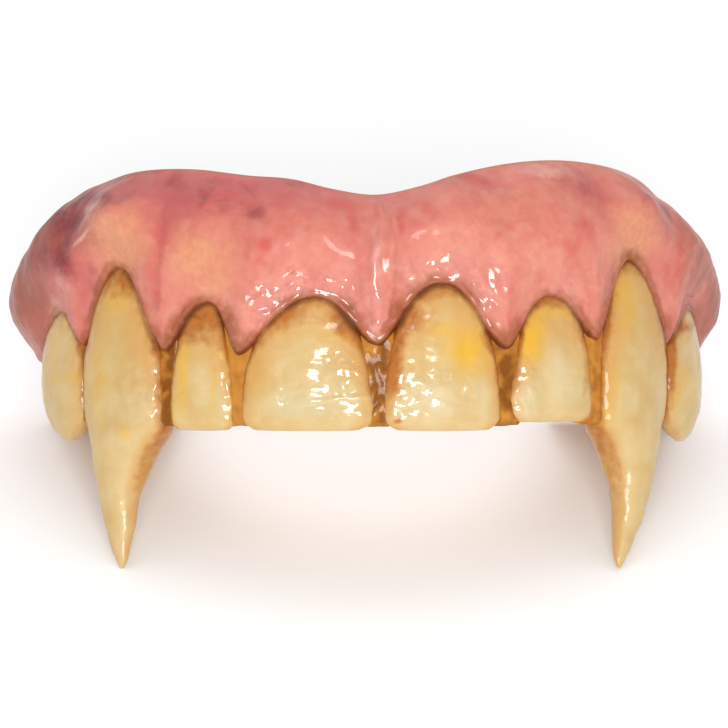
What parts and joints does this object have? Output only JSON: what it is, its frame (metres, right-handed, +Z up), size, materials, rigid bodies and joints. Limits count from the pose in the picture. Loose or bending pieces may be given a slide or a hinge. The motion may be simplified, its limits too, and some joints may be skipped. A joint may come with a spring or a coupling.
{
  "type": "vampire fang denture",
  "caption": "Costume upper denture: a pink gum flange with stained teeth and long curved fangs on a horseshoe tray that clips over the wearer's upper teeth.",
  "frame": {"origin": "middle of the ground rectangle under the denture, as it stands on its fang tips and the tray's rear ends", "axes": "+X to the viewer's right along the denture's width, +Y back towards the wearer's throat, +Z up; the row of teeth faces -Y and leans back 29 degrees"},
  "size_m": [0.0628, 0.0314, 0.0318],
  "materials": {
    "gum_acrylic": "glossy wet-look pink acrylic, mottled with darker red and purple",
    "tooth_acrylic": "glossy ivory-yellow acrylic, stained brown at the gum line",
    "tray_acrylic": "glossy brown-stained acrylic"
  },
  "bodies": {
    "root": {"gum_flange": "gum_acrylic", "tray": "tray_acrylic", "left_central_incisor": "tooth_acrylic", "left_lateral_incisor": "tooth_acrylic", "left_fang": "tooth_acrylic", "left_premolar": "tooth_acrylic", "right_central_incisor": "tooth_acrylic", "right_lateral_incisor": "tooth_acrylic", "right_fang": "tooth_acrylic", "right_premolar": "tooth_acrylic"}
  },
  "joints": []
}
